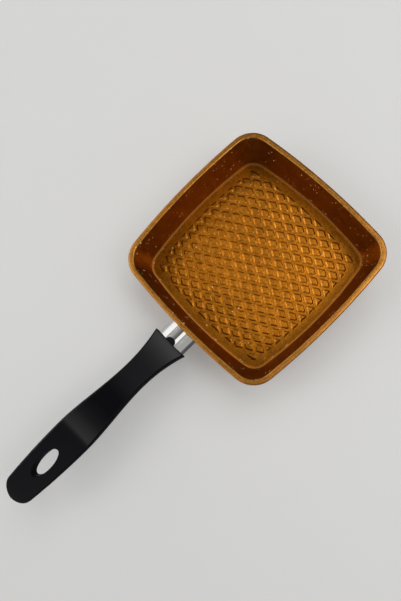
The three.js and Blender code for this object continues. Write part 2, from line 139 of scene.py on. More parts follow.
class Value:
    """A shader socket that takes part in Python expressions."""

    def __init__(self, graph: "Graph", socket: bpy.types.NodeSocket | None) -> None:
        """Keeps the socket, if there is one, and the graph that it is in."""
        self.graph = graph
        self.socket = socket

    def _math(self, operation: str, *terms: Term) -> "Value":
        """A Math node on the terms."""
        return self.graph.node("ShaderNodeMath", {"operation": operation}, dict(enumerate(terms)))

    def __add__(self, other: Term) -> "Value":
        """Sum."""
        return self._math("ADD", self, other)

    def __sub__(self, other: Term) -> "Value":
        """Difference."""
        return self._math("SUBTRACT", self, other)

    def __rsub__(self, other: Term) -> "Value":
        """Difference from a number."""
        return self._math("SUBTRACT", other, self)

    def __neg__(self) -> "Value":
        """The same with the other sign."""
        return 0 - self

    def __mul__(self, other: Term) -> "Value":
        """Product."""
        return self._math("MULTIPLY", self, other)

    def __lt__(self, other: Term) -> "Value":
        """One where this is the smaller, else zero."""
        return self._math("LESS_THAN", self, other)

    def __gt__(self, other: Term) -> "Value":
        """One where this is the larger, else zero: the reflected form of the smaller."""
        return self._math("GREATER_THAN", self, other)

    __radd__ = __add__
    __rmul__ = __mul__

    def step(self, low: float, high: float) -> "Value":
        """A smooth rise from zero to one.

        Args:
            low: where it starts.
            high: where it ends.

        Returns:
            The rise.
        """
        settings = {"interpolation_type": "SMOOTHSTEP"}
        inputs = {"Value": self, "From Min": low, "From Max": high}
        return self.graph.node("ShaderNodeMapRange", settings, inputs)


class Graph:
    """The node tree of one new material or world."""

    def __init__(self, owner: bpy.types.Material | bpy.types.World) -> None:
        """Empties the tree.

        Args:
            owner: the material or world that it belongs to.
        """
        self.owner = owner
        owner.use_nodes = True
        self.tree = owner.node_tree
        self.tree.nodes.clear()

    def node(
        self,
        kind: str,
        settings: dict[str, Any] | None = None,
        inputs: dict[str | int, Term] | None = None,
        output: str | int = 0,
    ) -> Value:
        """Adds one node.

        Args:
            kind: the node's type.
            settings: what is set on the node before its sockets.
            inputs: numbers, colours or links of its sockets.
            output: which of its outputs is wanted.

        Returns:
            That output.
        """
        made = self.tree.nodes.new(kind)
        for name, setting in (settings or {}).items():
            if name == "stops":
                self._set_stops(made.color_ramp, setting)
            else:
                setattr(made, name, setting)
        for key, term in (inputs or {}).items():
            socket = made.inputs[key]
            if isinstance(term, Value):
                self.tree.links.new(term.socket, socket)
            elif socket.type == "RGBA":
                socket.default_value = (*term, 1.0)
            else:
                socket.default_value = term
        return Value(self, made.outputs[output] if made.outputs else None)

    @staticmethod
    def _set_stops(ramp: bpy.types.ColorRamp, stops: Sequence[Span]) -> None:
        """Gives a ramp its stops.

        Args:
            ramp: the ramp, which has its first and last stop.
            stops: the place of each stop, from zero to one, and its grey level.
        """
        for place, _ in stops[1:-1]:
            ramp.elements.new(place)
        for element, (place, level) in zip(ramp.elements, stops):
            element.position = place
            element.color = (level, level, level, 1.0)

    def place(self) -> Value:
        """The surface point in the object's own frame."""
        return self.node("ShaderNodeTexCoord", output="Object")

    def facing(self) -> Value:
        """The direction that the surface faces."""
        return self.node("ShaderNodeNewGeometry", output="Normal")

    def part(self, vector: Value, axis: str) -> Value:
        """One coordinate of a point."""
        return self.node("ShaderNodeSeparateXYZ", inputs={0: vector}, output=axis)

    def dot(self, first: Value, second: Value) -> Value:
        """How far one vector reaches along another."""
        return self.node("ShaderNodeVectorMath", {"operation": "DOT_PRODUCT"}, {0: first, 1: second}, "Value")

    def noise(self, grain: float, detail: float = 2.0, roughness: float = 0.5) -> Value:
        """Soft noise from zero to one.

        Args:
            grain: size of its blots, in metres.
            detail: number of finer layers.
            roughness: how much the finer layers count.

        Returns:
            The noise.
        """
        inputs = {"Vector": self.place(), "Scale": 1 / grain, "Detail": detail, "Roughness": roughness}
        return self.node("ShaderNodeTexNoise", inputs=inputs)

    def specks(self, spacing: float, radius: float, share: float) -> Value:
        """Scattered round flecks.

        Args:
            spacing: usual distance between the places that a fleck can have.
            radius: largest radius of a fleck.
            share: how many of the places have one.

        Returns:
            The strength of a fleck, up to one, and zero elsewhere.
        """
        inputs = {"Vector": self.place(), "Scale": 1 / spacing}
        distance = self.node("ShaderNodeTexVoronoi", inputs=inputs, output="Distance")
        draw = self.node("ShaderNodeTexVoronoi", inputs=inputs, output="Color")
        chance, size, strength = (self.part(draw, axis) for axis in "XYZ")
        reach = (size * (1 - LEAST_FLECK) + LEAST_FLECK) * (radius / spacing)
        return (distance < reach) * (chance < share) * (strength * (1 - FAINTEST_FLECK) + FAINTEST_FLECK)

    def mix(self, first: Term, second: Term, share: Term) -> Value:
        """A blend of two colours, the second one where share is one."""
        inputs = {0: share, MIX_FIRST: first, MIX_SECOND: second}
        return self.node("ShaderNodeMix", {"data_type": "RGBA"}, inputs, MIX_RESULT)

    def bump(self, height: Value, depth: float) -> Value:
        """A normal from a height that runs from zero to one and is so deep, in metres."""
        return self.node("ShaderNodeBump", inputs={"Height": height, "Distance": depth, "Strength": 1.0})

    def surface(self, **inputs: Term) -> bpy.types.Material:
        """Closes the tree with a Principled shader.

        Args:
            inputs: its sockets by name, with _ for a space.

        Returns:
            The material.
        """
        sockets = {name.replace("_", " "): term for name, term in inputs.items()}
        shader = self.node("ShaderNodeBsdfPrincipled", inputs=sockets)
        self.node("ShaderNodeOutputMaterial", inputs={"Surface": shader})
        return self.owner


def new_graph(name: str) -> Graph:
    """The empty tree of a new material."""
    return Graph(bpy.data.materials.new(name))


# Finishes


@dataclass(frozen=True)
class Rise:
    """A change of colour between two heights."""

    low: float
    full: float
    colour: Colour


@dataclass(frozen=True)
class Coating:
    """Copper-gold non-stick coating with metal flakes in it and pale flecks on it.

    A tone whose gain is zero, or whose span is None, is left out.
    """

    name: str
    rises: tuple[Rise, ...] = ()
    colour: Colour = (0.9, 0.31, 0.018)
    edge: Colour = (0.85, 0.55, 0.16)
    roughness: float = 0.4
    roughness_swing: float = 0.2
    gloss: float = 0.0
    gloss_roughness: float = 0.25
    cloud_size: float = 9 * MM
    cloud_share: float = 0.35
    grain_size: float = 1.3 * MM
    grain_fineness: float = 0.6
    grain_depth: float = 0.05 * MM
    layers: float = 3.0
    shade: Span = (0.3, 0.72)
    shade_loss: float = 0.5
    fleck: Colour = (0.85, 0.6, 0.36)
    fleck_share: float = 0.03
    fleck_spacing: float = 3 * MM
    fleck_radius: float = 0.75 * MM
    dull_shine: float = 0.15
    # far and its loss: painted shade, the floor darker from the middle out towards the walls and corners.
    far: Span | None = None
    painted_shade_loss: float = 0.28
    # Painted reflection: a paler streak of this colour where the wall turns at a corner.
    corner: Colour = (0.5, 0.3, 0.06)
    painted_reflection_gain: float = 0.0
    painted_reflection_turn: Span = (0.02, 0.22)
    # Painted highlight: paler where the surface tilts, on the pads' slopes.
    painted_highlight: Colour = (0.95, 0.47, 0.13)
    painted_highlight_gain: float = 0.0
    painted_highlight_tilt: Span = (0.05, 0.2)
    # Painted shade: darker on slopes that face outwards, away from the middle, on the outer pads.
    painted_outward_shade: Colour = (0.36, 0.085, 0.012)
    painted_outward_shade_gain: float = 0.0
    painted_outward_shade_reach: Span = (14 * MM, 26 * MM)
    # Painted highlight: a paler, dull line along the floor fillet, between these heights.
    fillet_highlight: Span | None = None
    fillet_highlight_colour: Colour = (0.32, 0.125, 0.026)
    fillet_highlight_rise: float = 0.04 * MM
    fillet_highlight_fall: float = 0.3 * MM

    def tone(self, graph: Graph) -> Term:
        """Lays the tones of one stretch of the pan over the coating's colour.

        They go by height, where the darker wall is a painted shade, by distance from the middle, a painted
        shade, by how far a wall has turned at a corner, a painted reflection, by the tilt of the pads'
        slopes, a painted highlight, and by how far a slope faces outwards, a painted shade on the outer pads.

        Args:
            graph: the tree of the material.

        Returns:
            The colour under the flakes.
        """
        place = graph.place()
        tone: Term = self.colour
        for rise in self.rises:
            tone = graph.mix(tone, rise.colour, graph.part(place, "Z").step(rise.low, rise.full))
        # Painted shade: darker with distance from the middle.
        if self.far:
            x, y = graph.part(place, "X"), graph.part(place, "Y")
            near, full = (distance**2 for distance in self.far)
            tone = graph.mix(tone, BLACK, (x * x + y * y).step(near, full) * self.painted_shade_loss)
        # Painted reflection: paler where the wall turns at a corner.
        if self.painted_reflection_gain:
            facing = graph.facing()
            turned = graph.part(facing, "X") * graph.part(facing, "Y")
            tone = graph.mix(tone, self.corner, (turned * turned).step(*self.painted_reflection_turn) * self.painted_reflection_gain)
        # Painted highlight: paler on tilted faces, such as the pads' slopes.
        if self.painted_highlight_gain:
            tilt = 1 - graph.part(graph.facing(), "Z")
            tone = graph.mix(tone, self.painted_highlight, tilt.step(*self.painted_highlight_tilt) * self.painted_highlight_gain)
        # Painted shade: darker where a slope faces outwards, away from the middle.
        if self.painted_outward_shade_gain:
            outward = graph.dot(graph.facing(), place)
            tone = graph.mix(tone, self.painted_outward_shade, outward.step(*self.painted_outward_shade_reach) * self.painted_outward_shade_gain)
        return tone

    def material(self) -> bpy.types.Material:
        """Makes the coating.

        Returns:
            Its material.
        """
        graph = new_graph(self.name)
        cloud = graph.noise(self.cloud_size, self.layers)
        grain = graph.noise(self.grain_size, self.layers, self.grain_fineness)
        shade = (cloud * self.cloud_share + grain * (1 - self.cloud_share)).step(*self.shade)
        coat = graph.mix(self.tone(graph), BLACK, (1 - shade) * self.shade_loss)
        dull = graph.specks(self.fleck_spacing, self.fleck_radius, self.fleck_share)
        coat = graph.mix(coat, self.fleck, dull)
        # Painted highlight: a paler, dull line along the floor fillet.
        if self.fillet_highlight:
            height = graph.part(graph.place(), "Z")
            low, high = self.fillet_highlight
            line = height.step(low, low + self.fillet_highlight_rise) * (1 - height.step(high - self.fillet_highlight_fall, high))
            coat = graph.mix(coat, self.fillet_highlight_colour, line)
            dull = dull + line * (1 - dull)
        return graph.surface(
            Base_Color=coat,
            Metallic=1 - dull,
            Roughness=self.roughness + (grain - 0.5) * self.roughness_swing,
            Specular_IOR_Level=self.dull_shine,
            Specular_Tint=self.edge,
            Coat_Weight=self.gloss,
            Coat_Roughness=self.gloss_roughness,
            Normal=graph.bump(grain, self.grain_depth),
        )


@dataclass(frozen=True)
class TurnedBase:
    """Bare aluminium with the fine rings of a lathe."""

    name: str = "turned_base"
    colour: Colour = linear(196, 194, 190)
    roughness: float = 0.3
    pitch: float = 0.8 * MM
    ring_depth: float = 0.03 * MM
    wear_size: float = 12 * MM
    wear_layers: float = 4.0
    wear_tone: float = 0.8
    wear_roughness: float = 0.15

    def material(self) -> bpy.types.Material:
        """Makes the turned face.

        Returns:
            Its material.
        """
        graph = new_graph(self.name)
        settings = {"wave_type": "RINGS", "rings_direction": "Z", "wave_profile": "SIN"}
        inputs = {"Vector": graph.place(), "Scale": RING_PERIOD / self.pitch, "Distortion": 0.0}
        rings = graph.node("ShaderNodeTexWave", settings, inputs, "Fac")
        wear = graph.noise(self.wear_size, self.wear_layers)
        return graph.surface(
            Base_Color=graph.mix(scaled(self.colour, self.wear_tone), self.colour, wear),
            Metallic=1.0,
            Roughness=self.roughness + wear * self.wear_roughness,
            Normal=graph.bump(rings, self.ring_depth),
        )


@dataclass(frozen=True)
class Metal:
    """A bare or plated metal with light wear."""

    name: str
    colour: Colour
    roughness: float
    roughness_swing: float = 0.08
    wear_size: float = 6 * MM
    wear_layers: float = 4.0
    wear_tone: float = 0.92
    scratch_size: float = 0.4 * MM
    scratch_depth: float = 0.002 * MM

    def material(self) -> bpy.types.Material:
        """Makes the metal.

        Returns:
            Its material.
        """
        graph = new_graph(self.name)
        wear = graph.noise(self.wear_size, self.wear_layers)
        scratch = graph.noise(self.scratch_size)
        return graph.surface(
            Base_Color=graph.mix(scaled(self.colour, self.wear_tone), self.colour, wear),
            Metallic=1.0,
            Roughness=self.roughness + (wear - 0.5) * self.roughness_swing,
            Normal=graph.bump(scratch, self.scratch_depth),
        )


@dataclass(frozen=True)
class MouldedBlack:
    """Black moulding compound, polished or matt."""

    name: str
    roughness: float
    shine: float
    colour: Colour = linear(9, 9, 12)
    roughness_swing: float = 0.04
    cloud_size: float = 14 * MM
    cloud_swing: float = 0.2
    grain_size: float = 0.5 * MM
    grain_layers: float = 3.0
    grain_depth: float = 0.002 * MM

    def material(self) -> bpy.types.Material:
        """Makes the moulding.

        Returns:
            Its material.
        """
        graph = new_graph(self.name)
        grain = graph.noise(self.grain_size, self.grain_layers)
        cloud = graph.noise(self.cloud_size)
        dark, pale = (scaled(self.colour, 1 + swing) for swing in (-self.cloud_swing, self.cloud_swing))
        return graph.surface(
            Base_Color=graph.mix(dark, pale, cloud),
            Roughness=self.roughness + (cloud - 0.5) * self.roughness_swing,
            Specular_IOR_Level=self.shine,
            Normal=graph.bump(grain, self.grain_depth),
        )


@dataclass(frozen=True)
class PaleTable:
    """Plain pale surface that the pan stands on."""

    name: str = "pale_table"
    colour: Colour = (0.4, 0.398, 0.39)
    roughness: float = 0.6
    cloud_size: float = 60 * MM
    cloud_layers: float = 3.0
    cloud_tone: float = 0.98
    glow_colour: Colour = (1.0, 1.0, 0.985)
    glow: float = 0.18

    def material(self) -> bpy.types.Material:
        """Makes the surface.

        Returns:
            Its material.
        """
        graph = new_graph(self.name)
        cloud = graph.noise(self.cloud_size, self.cloud_layers)
        return graph.surface(
            Base_Color=graph.mix(scaled(self.colour, self.cloud_tone), self.colour, cloud),
            Roughness=self.roughness,
            Emission_Color=self.glow_colour,
            Emission_Strength=self.glow,
        )


# Meshes


@dataclass(frozen=True)
class Corner:
    """A corner of a profile and the radius that rounds it."""

    out: float
    up: float
    radius: float = 0.0

    def point(self) -> np.ndarray:
        """The corner as a point."""
        return np.array((self.out, self.up))


def full_turn(steps: int) -> np.ndarray:
    """Even angles once round a circle."""
    return np.linspace(0, 2 * math.pi, steps, endpoint=False)


def polar(radius: float, angles: Iterable[float]) -> np.ndarray:
    """Points on a circle round the origin, one for each angle."""
    turned = np.asarray(list(angles), float)
    return radius * np.stack((np.cos(turned), np.sin(turned)), axis=1)


def unit(vector: np.ndarray) -> np.ndarray:
    """The vector at length one."""
    return vector / np.linalg.norm(vector)


def cross(first: np.ndarray, second: np.ndarray) -> float | np.ndarray:
    """How far one flat vector turns to another: above zero where it turns anticlockwise."""
    return first[0] * second[1] - first[1] * second[0]


def smoothstep(share: float | np.ndarray) -> float | np.ndarray:
    """A smooth rise from zero to one, flat at both ends."""
    held = np.clip(share, 0.0, 1.0)
    return held * held * (3 - 2 * held)


def lifted(outline: np.ndarray, up: float) -> np.ndarray:
    """A flat outline as points in space, all at one height."""
    return np.column_stack((outline, np.full(len(outline), up)))


def tilted(points: np.ndarray, angle: float, start: Span) -> np.ndarray:
    """Points of a frame whose X axis is turned up.

    Args:
        points: along, across and up in that frame.
        angle: how far it is turned up.
        start: its origin, along and up, in the frame outside it.

    Returns:
        The points in the frame outside it.
    """
    along, across, up = np.asarray(points, float).T
    c, s = math.cos(angle), math.sin(angle)
    return np.column_stack((
        start[0] + along * c - up * s,
        across,
        start[1] + along * s + up * c,
    ))


def rounded_path(corners: Sequence[Corner], steps: int) -> np.ndarray:
    """A line through corners, with an arc at each one between its ends.

    Args:
        corners: first point, rounded corners, last point.
        steps: facets of each arc.

    Returns:
        The points of the line.
    """
    points = [corners[0].point()]
    for before, here, after in zip(corners, corners[1:], corners[2:]):
        back = unit(before.point() - here.point())
        ahead = unit(after.point() - here.point())
        half = math.acos(float(back @ ahead)) / 2
        centre = here.point() + unit(back + ahead) * here.radius / math.sin(half)
        start = here.point() + back * here.radius / math.tan(half) - centre
        turn = math.copysign(math.pi - 2 * half, cross(ahead, back))
        first = math.atan2(start[1], start[0])
        points.extend(centre + polar(here.radius, np.linspace(first, first + turn, steps + 1)))
    points.append(corners[-1].point())
    return np.array(points)


def bowed_square(half: float, bow: float, corner: float, side_steps: int, corner_steps: int) -> np.ndarray:
    """A square with bowed sides and rounded corners, anticlockwise.

    Args:
        half: half width at the middle of a side.
        bow: how far a side swells beyond a straight one.
        corner: corner radius.
        side_steps: facets of each side.
        corner_steps: facets of each corner.

    Returns:
        Its points.
    """
    side_radius = (half * half + bow * bow) / (2 * bow)
    side_centre = half - side_radius
    reach = side_radius - corner
    place = (side_centre + math.sqrt(2 * reach * reach - side_centre * side_centre)) / 2
    turn = math.atan2(place, place - side_centre)
    side = polar(side_radius, np.linspace(-turn, turn, side_steps, endpoint=False)) + (side_centre, 0)
    end = math.pi / 2 - turn
    arc = polar(corner, np.linspace(turn, end, corner_steps, endpoint=False)) + (place, place)
    quarters = [np.concatenate((side, arc))]
    quarter_turn = np.array(((0, 1), (-1, 0)))
    for _ in range(3):
        quarters.append(quarters[-1] @ quarter_turn)
    return np.concatenate(quarters)


def clip(outline: np.ndarray, border: np.ndarray) -> np.ndarray:
    """Cuts a convex outline at a convex border, both anticlockwise.

    Args:
        outline: what is cut.
        border: the border.

    Returns:
        What of the outline lies inside the border, which may be nothing.
    """
    kept = list(outline)
    for start, end in zip(border, np.roll(border, -1, axis=0)):
        sides = [cross(end - start, point - start) for point in kept]
        cut = []
        for i, here in enumerate(kept):
            following = (i + 1) % len(kept)
            if sides[i] >= 0:
                cut.append(here)
            if sides[i] * sides[following] < 0:
                share = sides[i] / (sides[i] - sides[following])
                cut.append(here + share * (kept[following] - here))
        kept = cut
        if not kept:
            break
    return np.array(kept).reshape(-1, 2)


def area(outline: np.ndarray) -> float:
    """Area of an anticlockwise outline."""
    return float(np.sum(cross(outline.T, np.roll(outline, -1, axis=0).T)) / 2)


class Mesher:
    """Gathers the points and faces of one piece."""

    def __init__(self) -> None:
        """Starts empty."""
        self.points: list[Sequence[float]] = []
        self.faces: list[tuple[int, ...]] = []
        self.regions: list[int] = []

    def add(self, points: np.ndarray) -> list[int]:
        """Adds points.

        Args:
            points: the points.

        Returns:
            Their numbers.
        """
        first = len(self.points)
        self.points.extend(points.tolist())
        return list(range(first, len(self.points)))

    def face(self, corners: Sequence[int], region: int = 0) -> None:
        """Adds one face."""
        self.faces.append(tuple(corners))
        self.regions.append(region)

    def loft(self, rings: Sequence[np.ndarray], region: int = 0) -> list[list[int]]:
        """Adds the skin through closed rings that run anticlockwise about its direction.

        Args:
            rings: the rings, all with the same number of points.
            region: finish of the faces.

        Returns:
            The numbers of each ring's points.
        """
        numbers = [self.add(ring) for ring in rings]
        for here, beyond in zip(numbers, numbers[1:]):
            for i in range(len(here)):
                j = (i + 1) % len(here)
                self.face((here[i], here[j], beyond[j], beyond[i]), region)
        return numbers

    def body(self, rings: Sequence[np.ndarray]) -> "Mesher":
        """Adds a loft that is closed by a flat face at each end.

        Args:
            rings: the rings, all with the same number of points.

        Returns:
            This mesher.
        """
        numbers = self.loft(rings)
        self.face(numbers[0][::-1])
        self.face(numbers[-1])
        return self

    def patch(self, loops: Sequence[np.ndarray], region: int = 0) -> None:
        """Fills a level outline that holds smaller outlines, all closed and with their own heights.

        Args:
            loops: the outer outline and then the inner ones, as points in space.
            region: finish of the faces.
        """
        points = np.concatenate(loops)
        edges, first = [], 0
        for loop in loops:
            count = len(loop)
            edges.extend((first + i, first + (i + 1) % count) for i in range(count))
            first += count
        flat = [Vector(p) for p in (points[:, :2] / MM).tolist()]
        made, _, faces, sources, _, _ = delaunay_2d_cdt(flat, edges, [], FILL_INSIDE, FILL_TOLERANCE)
        heights = [points[source[0], 2] if source else points[0, 2] for source in sources]
        numbers = self.add(np.array([(p.x * MM, p.y * MM, z) for p, z in zip(made, heights)]))
        for corners in faces:
            self.face([numbers[i] for i in corners], region)

    def piece(self, name: str, finishes: Sequence[bpy.types.Material]) -> bpy.types.Object:
        """Makes the object.

        Args:
            name: its name.
            finishes: one material for each region.

        Returns:
            The object, in the scene.
        """
        mesh = bpy.data.meshes.new(name)
        mesh.from_pydata(self.points, [], self.faces)
        for finish in finishes:
            mesh.materials.append(finish)
        mesh.polygons.foreach_set("material_index", self.regions)
        made = bpy.data.objects.new(name, mesh)
        bpy.context.scene.collection.objects.link(made)
        weld(made)
        return made


def apply_modifiers(piece: bpy.types.Object) -> None:
    """Gives a piece the mesh that its modifiers make, and removes them.

    Args:
        piece: what is changed.
    """
    graph = bpy.context.evaluated_depsgraph_get()
    made = bpy.data.meshes.new_from_object(piece.evaluated_get(graph))
    piece.modifiers.clear()
    piece.data = made


def weld(piece: bpy.types.Object) -> None:
    """Joins doubled points.

    Args:
        piece: what is changed.
    """
    gathered = bmesh.new()
    gathered.from_mesh(piece.data)
    bmesh.ops.remove_doubles(gathered, verts=gathered.verts, dist=WELD_DISTANCE)
    bmesh.ops.dissolve_degenerate(gathered, edges=gathered.edges, dist=WELD_DISTANCE)
    gathered.to_mesh(piece.data)
    gathered.free()


def smooth(piece: bpy.types.Object) -> None:
    """Shades rounded stretches smoothly, while large flat faces keep their own direction.

    Args:
        piece: what is changed.
    """
    piece.data.shade_smooth()
    piece.data.set_sharp_from_angle(angle=CREASE)
    modifier = piece.modifiers.new("flat_faces", "WEIGHTED_NORMAL")
    modifier.keep_sharp = True
    apply_modifiers(piece)


def carve(piece: bpy.types.Object, tool: bpy.types.Object, carving: Carving) -> None:
    """Cuts a closed body out of a piece, or joins it to the piece, and removes the body.

    Args:
        piece: what is changed.
        tool: the closed body.
        carving: what the body does.
    """
    modifier = piece.modifiers.new("carve", "BOOLEAN")
    modifier.operation = carving.value
    modifier.solver = "EXACT"
    modifier.object = tool
    apply_modifiers(piece)
    bpy.data.objects.remove(tool)


def settle(piece: bpy.types.Object, node: str, slot: Slot) -> None:
    """Finishes the shading of a piece and puts it in the place of a CAD node.

    Args:
        piece: the piece.
        node: the node that it stands for.
        slot: the record's slot of its finish; not used.
    """
    smooth(piece)
    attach(piece, BODY)
    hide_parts(node)


# Sub-assemblies


@dataclass
class PanBody:
    """Square pan with drafted walls, a rolled rim and raised pads on its floor."""

    width: float = 160 * MM
    height: float = 40 * MM
    wall: float = 2.8 * MM
    draft: float = math.radians(7)
    floor: float = 4.5 * MM
    floor_fillet: float = 1.2 * MM
    base_fillet: float = 7 * MM
    rim_width: float = 4.5 * MM
    rim_height: float = 4.5 * MM
    rim_round: float = 1.5 * MM
    lip_round: float = 0.7 * MM
    rim_corner: float = 21 * MM
    floor_corner: float = 14 * MM
    rim_bow: float = 5.4 * MM
    floor_bow: float = 7 * MM
    flat_margin: float = 0.6 * MM
    pad_pitch: Span = (9.62 * MM, 15.7 * MM)
    pad_length: Span = (6.4 * MM, 9 * MM)
    pad_round: float = 1.3 * MM
    pad_height: float = 0.8 * MM
    pad_slope: float = 0.9 * MM
    pad_foot: float = 0.45 * MM
    pad_margin: float = 8 * MM
    pad_border_bow: float = 5.5 * MM
    pad_border_corner: float = 3 * MM
    pad_least: float = 0.4 * MM * MM
    # Painted shade: the inside wall darker from just above the floor, and the rim paler again.
    painted_wall_shade: Colour = (0.21, 0.115, 0.03)
    wall_from: Span = (0.05 * MM, 0.65 * MM)
    rim_colour: Colour = (0.68, 0.285, 0.05)
    rim_from: Span = (0.6 * MM, 0.15 * MM)
    # Height of the painted highlight line along the floor fillet.
    fillet_highlight_height: float = 1.8 * MM
    # Where the floor's painted shade starts and where it is full, out from the middle.
    painted_shade_from: Span = (52 * MM, 86 * MM)
    side_steps: int = 28
    corner_steps: int = 16
    arc_steps: int = 8
    pad_steps: int = 5
    pad_tip_steps: int = 4
    pad_border_steps: int = 4

    def inner_half(self, up: float) -> float:
        """Half width of the inside of the wall at a height."""
        return self.width / 2 - self.rim_width - (self.height - up) * math.tan(self.draft)

    def outer_half(self, up: float) -> float:
        """Half width of the outside of the wall at a height."""
        return self.inner_half(up) + self.wall

    def ring(self, half: float, up: float) -> np.ndarray:
        """Level ring of the body, whose corner keeps its distance to the inside of the wall.

        Args:
            half: half width at the middle of a side.
            up: its height.

        Returns:
            Its points, anticlockwise.
        """
        rise = up / self.height
        bow = self.floor_bow + (self.rim_bow - self.floor_bow) * rise
        inner_corner = self.floor_corner + (self.rim_corner - self.rim_width - self.floor_corner) * rise
        corner = inner_corner + half - self.inner_half(up)
        return lifted(bowed_square(half, bow, corner, self.side_steps, self.corner_steps), up)

    def outside_profile(self) -> np.ndarray:
        """Profile from the base, up the outside, to the middle of the rim's top.

        Returns:
            Its points, out from the middle and up.
        """
        edge = self.width / 2
        lip = self.height - self.rim_height
        run = edge - self.outer_half(lip)
        return rounded_path(
            (
                Corner(self.outer_half(0) - self.base_fillet - self.flat_margin, 0),
                Corner(self.outer_half(0), 0, self.base_fillet),
                Corner(self.outer_half(lip - run), lip - run, self.lip_round),
                Corner(edge, lip, self.lip_round),
                Corner(edge, self.height, self.rim_round),
                Corner(edge - self.rim_width / 2, self.height),
            ),
            self.arc_steps,
        )

    def inside_profile(self) -> np.ndarray:
        """Profile from the middle of the rim's top, down the inside, to the floor.

        Returns:
            Its points, out from the middle and up.
        """
        edge = self.width / 2
        return rounded_path(
            (
                Corner(edge - self.rim_width / 2, self.height),
                Corner(edge - self.rim_width, self.height, self.rim_round),
                Corner(self.inner_half(self.floor), self.floor, self.floor_fillet),
                Corner(self.inner_half(self.floor) - self.floor_fillet - self.flat_margin, self.floor),
            ),
            self.arc_steps,
        )

    def pad_outline(self, inset: float) -> np.ndarray:
        """Outline of one pad, a rounded diamond.

        Args:
            inset: how far it is drawn in.

        Returns:
            Its points, anticlockwise.
        """
        radius = self.pad_round - inset
        core_x, core_y = (length / 2 - self.pad_round for length in self.pad_length)
        lean = math.atan2(core_x, core_y)
        blunt = polar(radius, (-lean, 0, lean)) + (core_x, 0)
        sharp = polar(radius, np.linspace(lean, math.pi - lean, self.pad_tip_steps + 1)) + (0, core_y)
        return np.concatenate((blunt, sharp, -blunt, -sharp))

    def pad_border(self, inset: float) -> np.ndarray:
        """Line along which the pads end.

        Args:
            inset: how far it is drawn in.

        Returns:
            Its points, anticlockwise.
        """
        half = self.inner_half(self.floor) - self.pad_margin - inset
        corner, steps = self.pad_border_corner, self.pad_border_steps
        return bowed_square(half, self.pad_border_bow, corner, self.side_steps, steps)

    def pad_places(self) -> list[Span]:
        """Lays the pads out on a centred lattice, where a good part of a pad is inside the border.

        Returns:
            The middles of the pads.
        """
        border = self.pad_border(0)
        edges = np.roll(border, -1, axis=0) - border
        pitch_x, pitch_y = self.pad_pitch
        reach = int(self.width / 2 / pitch_x)
        places = []
        for column in range(-2 * reach, 2 * reach + 1):
            for row in range(-2 * reach, 2 * reach + 1):
                if (column + row) % 2 == 0:
                    continue
                x, y = column * pitch_x / 2, row * pitch_y / 2
                # The point a quarter of a pad nearer to the middle has to be inside.
                kept_x = max(abs(x) - self.pad_length[0] / 4, 0)
                kept_y = max(abs(y) - self.pad_length[1] / 4, 0)
                kept = np.array((kept_x, kept_y)) - border
                if np.all(cross(edges.T, kept.T) > 0):
                    places.append((x, y))
        return places

    def pad_loops(self) -> list[np.ndarray]:
        """Draws all pads, level by level, from the foot to the top.

        Returns:
            The outlines, as points in space.
        """
        loops = []
        for step in range(self.pad_steps + 1):
            share = step / self.pad_steps
            inset = -self.pad_foot + (self.pad_slope + self.pad_foot) * share
            up = self.floor + self.pad_height * (share + float(smoothstep(share))) / 2
            outline, border = self.pad_outline(inset), self.pad_border(inset)
            for place in self.pad_places():
                cut = clip(outline + place, border)
                if len(cut) > 2 and area(cut) > self.pad_least:
                    loops.append(lifted(cut, up))
        return loops

    def finishes(self) -> tuple[bpy.types.Material, ...]:
        """Makes the finishes: the wall is darker from the floor on, a painted shade, and the rim paler.

        Returns:
            One material for each region, in their order.
        """
        # The wall's painted shade from just above the floor, with the rim's paler colour over it.
        wall = Rise(*(self.floor + up for up in self.wall_from), self.painted_wall_shade)
        rim = Rise(*(self.height - down for down in self.rim_from), self.rim_colour)
        # Heights of the painted highlight line along the floor fillet.
        fillet_highlight = (self.floor, self.floor + self.fillet_highlight_height)
        return (
            # The floor takes painted shade towards the walls, a painted highlight on tilted pad slopes and
            # painted shade on outward slopes; the wall takes a painted reflection at its corners and a
            # painted highlight along the fillet.
            Coating(
                "coating_floor", far=self.painted_shade_from, painted_highlight_gain=0.15, painted_outward_shade_gain=0.8, gloss=0.1
            ).material(),
            Coating("coating_wall", (wall, rim), painted_reflection_gain=0.35, fleck_share=0.3, fillet_highlight=fillet_highlight).material(),
            Coating("coating_outside", (rim,)).material(),
            TurnedBase().material(),
        )

    def build(self) -> bpy.types.Object:
        """Makes the pan body.

        Returns:
            The piece.
        """
        mesh = Mesher()
        outside = [self.ring(*p) for p in self.outside_profile()]
        inside = [self.ring(*p) for p in self.inside_profile()]
        base = mesh.loft(outside, Region.OUTSIDE)[0]
        mesh.face(base[::-1], Region.BASE)
        mesh.loft(inside, Region.WALL)
        mesh.patch([inside[-1], *self.pad_loops()], Region.FLOOR)
        piece = mesh.piece("pan_body_coated", self.finishes())
        settle(piece, "pan_body", Slot.COATING)
        return piece


@dataclass
class Neck:
    """Line on which the ferrule leaves the wall: X along it, Y across, Z up."""

    pan: PanBody
    height: float = 16.7 * MM
    slope: float = math.radians(6.5)
    gap: float = 0.2 * MM

    def place(self, points: np.ndarray) -> np.ndarray:
        """Points of the neck's frame in the frame of the whole."""
        return tilted(points, self.slope, (self.pan.outer_half(self.height), self.height))

    def wall(self, up: np.ndarray) -> np.ndarray:
        """Distance along the neck at which a line at some height meets the wall."""
        lean = self.slope + self.pan.draft
        return self.gap / math.cos(lean) + up * math.tan(lean)


